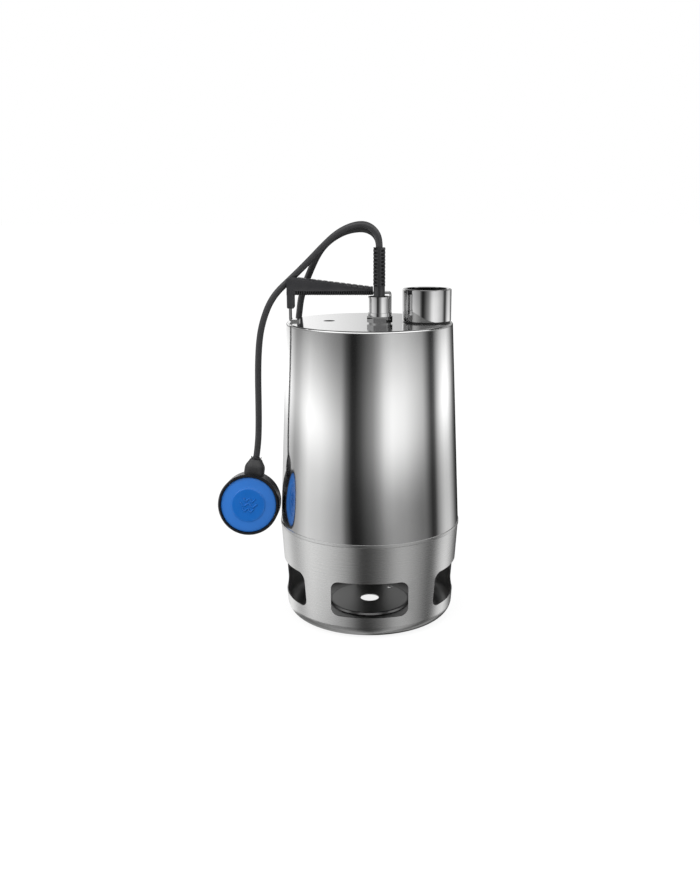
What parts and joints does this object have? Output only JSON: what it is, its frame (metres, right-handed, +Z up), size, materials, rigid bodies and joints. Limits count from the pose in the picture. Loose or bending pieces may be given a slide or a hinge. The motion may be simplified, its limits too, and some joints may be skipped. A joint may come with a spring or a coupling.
{
  "type": "submersible sump pump",
  "caption": "Upright stainless drainage pump with a windowed strainer base, threaded top discharge, carrying handle and a blue float switch on a side cable.",
  "frame": {"origin": "on the floor, on the pump's centre line", "axes": "+Z up along the pump's centre line and out of the discharge port; +X from the centre line towards the discharge port; -Y towards the cable gland's side"},
  "size_m": [0.3384, 0.481, 0.5466],
  "materials": {
    "polished_stainless": "mirror-polished stainless sheet",
    "satin_stainless": "satin stainless sheet",
    "chromed_fitting": "bright plated",
    "cable_jacket": "dull black rubber sheath",
    "black_rubber": "moulded rubber",
    "black_plastic": "fine-textured moulded plastic",
    "float_blue": "semi-gloss blue polypropylene",
    "steel_part": "machined steel",
    "cast_part": "cast",
    "core_steel": "stacked laminations",
    "copper_winding": "varnished copper wire",
    "aluminium_part": "die-cast aluminium",
    "seal_ceramic": "ground ceramic",
    "pin_metal": "plated brass",
    "white_plastic": "plain"
  },
  "bodies": {
    "pump": {"outer_sleeve": "polished_stainless", "strainer_base": "satin_stainless", "seam_ring": "satin_stainless", "discharge_socket": "chromed_fitting", "socket_gasket": "black_rubber", "socket_locknut": "steel_part", "riser_pipe": "steel_part", "riser_seals": "black_rubber", "pump_housing": "cast_part", "suction_cover": "satin_stainless", "cover_screws": "steel_part", "oil_chamber": "cast_part", "housing_screws": "steel_part", "bearing_bracket": "cast_part", "seal_seat": "seal_ceramic", "lip_seal": "black_rubber", "motor_can": "steel_part", "can_gaskets": "black_rubber", "stator_core": "core_steel", "winding_ends": "copper_winding", "lower_bearing_outer": "steel_part", "upper_bearing_outer": "steel_part", "upper_bracket": "aluminium_part", "motor_head": "cast_part", "head_screws": "steel_part", "terminal_block": "white_plastic", "capacitor": "aluminium_part", "cable_gland": "chromed_fitting", "gland_seal": "black_rubber", "strain_relief": "black_rubber", "handle_bracket": "polished_stainless", "handle_grip": "black_plastic", "mains_cable": "cable_jacket", "mains_coil": "cable_jacket", "coil_tie": "black_plastic", "mains_plug": "black_plastic", "plug_sleeve": "black_rubber", "plug_pins": "pin_metal", "float_cable_held": "cable_jacket", "float_cable_bend": "cable_jacket"},
    "rotor": {"shaft": "steel_part", "rotor_core": "core_steel", "impeller": "steel_part", "impeller_nut": "steel_part", "impeller_key": "steel_part", "seal_face": "seal_ceramic", "seal_spring": "steel_part", "lower_bearing_inner": "steel_part", "upper_bearing_inner": "steel_part"},
    "lower_ball_set": {"lower_bearing_balls": "steel_part"},
    "upper_ball_set": {"upper_bearing_balls": "steel_part"},
    "float": {"float_cable_hanging": "cable_jacket", "float_boot": "black_rubber", "float_front_shell": "float_blue", "float_back_shell": "float_blue", "float_band": "black_plastic", "switch_tube": "white_plastic", "switch_body": "white_plastic"},
    "switch_ball": {"switch_ball": "steel_part"},
    "switch_plunger": {"switch_plunger": "white_plastic"}
  },
  "joints": [
    {"name": "rotor_spin", "type": "hinge", "parent": "pump", "child": "rotor", "pos_m": [-0.03, 0, 0.28], "axis": [0, 0, 1], "continuous": true},
    {"name": "lower_balls_orbit", "type": "hinge", "parent": "pump", "child": "lower_ball_set", "pos_m": [-0.03, 0, 0.2171], "axis": [0, 0, 1], "continuous": true},
    {"name": "upper_balls_orbit", "type": "hinge", "parent": "pump", "child": "upper_ball_set", "pos_m": [-0.03, 0, 0.343], "axis": [0, 0, 1], "continuous": true},
    {"name": "float_swing", "type": "hinge", "parent": "pump", "child": "float", "pos_m": [-0.126, 0.003, 0.4515], "axis": [0, 1, 0], "range_deg": [0, 110], "deforming": ["float_cable_bend"]},
    {"name": "ball_roll", "type": "slide", "parent": "float", "child": "switch_ball", "axis": [0.1473, 0.1387, 0.9793], "range_m": [0, 0.02]},
    {"name": "plunger_press", "type": "slide", "parent": "float", "child": "switch_plunger", "axis": [0.1473, 0.1387, 0.9793], "range_m": [0, 0.002]}
  ],
  "couplings": [
    {"joint": "lower_balls_orbit", "follows": "rotor_spin", "ratio": 0.369},
    {"joint": "upper_balls_orbit", "follows": "rotor_spin", "ratio": 0.383},
    {"joint": "plunger_press", "follows": "ball_roll", "ratio": 0.1}
  ]
}
